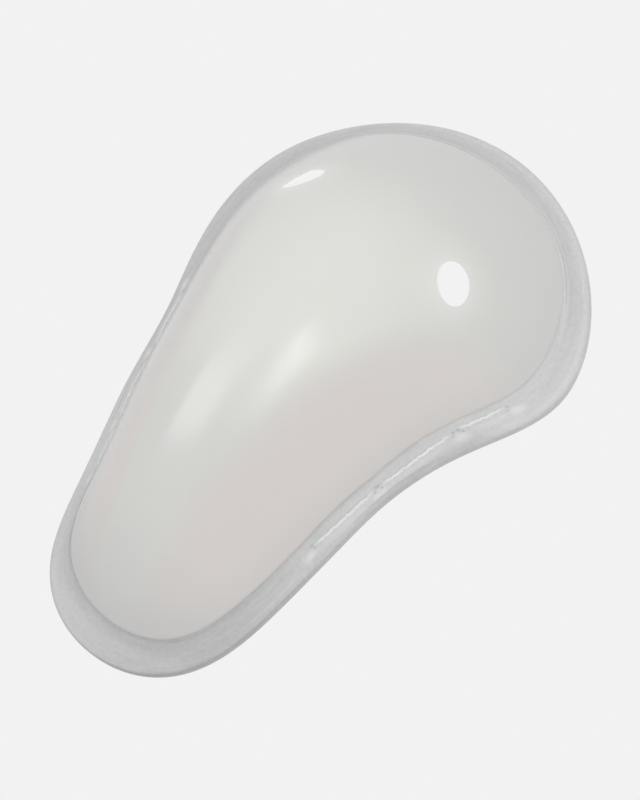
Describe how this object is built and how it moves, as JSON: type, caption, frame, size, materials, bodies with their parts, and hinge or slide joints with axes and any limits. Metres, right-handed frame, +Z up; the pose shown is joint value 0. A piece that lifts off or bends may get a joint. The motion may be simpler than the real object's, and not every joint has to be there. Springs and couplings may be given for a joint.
{
  "type": "groin guard",
  "caption": "Pear-shaped hollow groin guard: a hard translucent dome with oval vents in its wide end and a soft arched rim moulded round its edge, worn in a pouch to take blows.",
  "frame": {"origin": "on the surface that the guard rests on, open side down, at the middle of its outline", "axes": "+X across towards the wearer's left, +Y along the length towards the wide belly end, +Z up out of the dome"},
  "size_m": [0.1076, 0.155, 0.0402],
  "materials": {
    "shell": "milky translucent polypropylene, smooth moulded satin gloss",
    "rim": "cloudy clear thermoplastic elastomer, soft satin"
  },
  "bodies": {
    "root": {"shell": "shell", "rim": "rim"}
  },
  "joints": []
}
